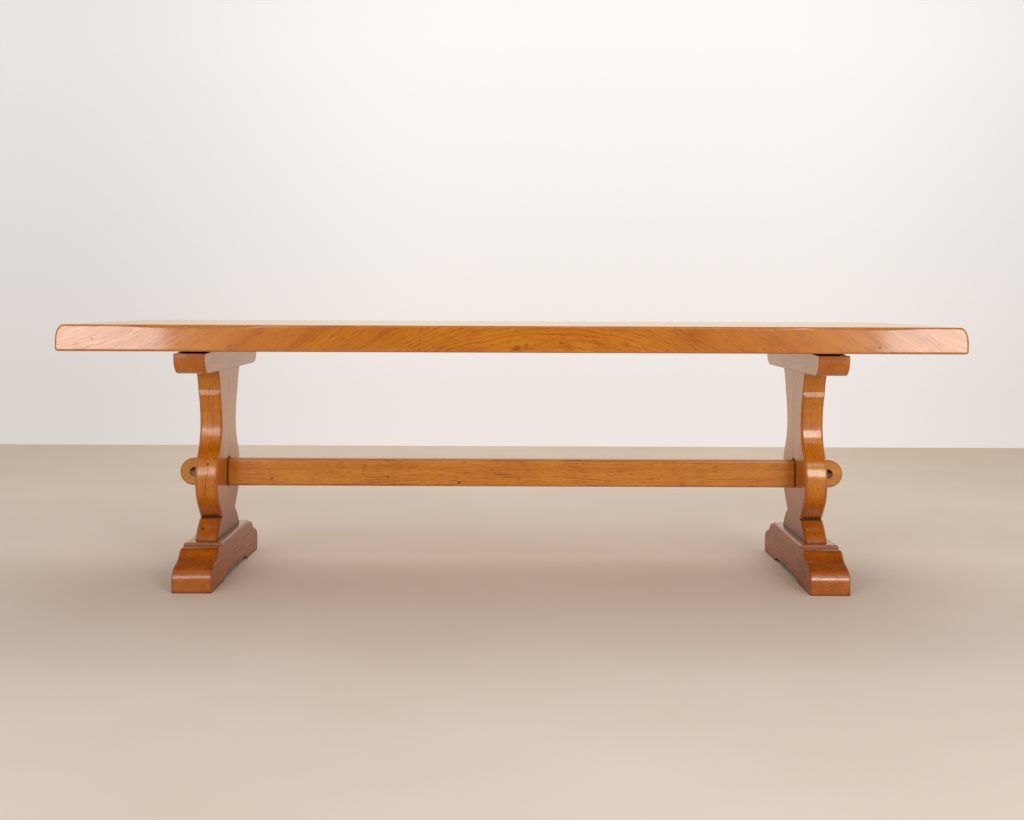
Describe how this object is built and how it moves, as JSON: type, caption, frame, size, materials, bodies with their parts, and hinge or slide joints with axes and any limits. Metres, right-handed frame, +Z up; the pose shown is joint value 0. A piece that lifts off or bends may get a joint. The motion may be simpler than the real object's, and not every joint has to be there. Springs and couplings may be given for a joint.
{
  "type": "trestle dining table",
  "caption": "Long wooden trestle dining table: thick boarded top, shaped plank legs on ogee feet, bearers, and a stretcher whose round-ended tenons are keyed.",
  "frame": {"origin": "on the floor, under the middle of the top", "axes": "+X along the table, +Y towards the back, +Z up; the pictured long side faces -Y"},
  "size_m": [2.522, 0.85, 0.76],
  "materials": {
    "varnished_elm": "satin varnish",
    "oak": "oiled",
    "zinc_plated_steel": "zinc plated"
  },
  "bodies": {
    "table": {"top_front_board": "varnished_elm", "top_middle_board": "varnished_elm", "top_back_board": "varnished_elm", "left_foot": "varnished_elm", "left_leg_front_board": "varnished_elm", "left_leg_back_board": "varnished_elm", "left_bearer": "varnished_elm", "right_foot": "varnished_elm", "right_leg_front_board": "varnished_elm", "right_leg_back_board": "varnished_elm", "right_bearer": "varnished_elm", "stretcher": "varnished_elm", "top_front_tongue": "oak", "top_back_tongue": "oak", "left_leg_dowels": "oak", "left_foot_pegs": "oak", "left_bearer_pegs": "oak", "right_leg_dowels": "oak", "right_foot_pegs": "oak", "right_bearer_pegs": "oak", "left_top_screws": "zinc_plated_steel", "left_top_washers": "zinc_plated_steel", "right_top_screws": "zinc_plated_steel", "right_top_washers": "zinc_plated_steel"},
    "left_key": {"left_key": "oak"},
    "right_key": {"right_key": "oak"}
  },
  "joints": [
    {"name": "left_key_slide", "type": "slide", "parent": "table", "child": "left_key", "axis": [0, 1, 0], "range_m": [0, 0.06]},
    {"name": "right_key_slide", "type": "slide", "parent": "table", "child": "right_key", "axis": [0, 1, 0], "range_m": [0, 0.06]}
  ]
}
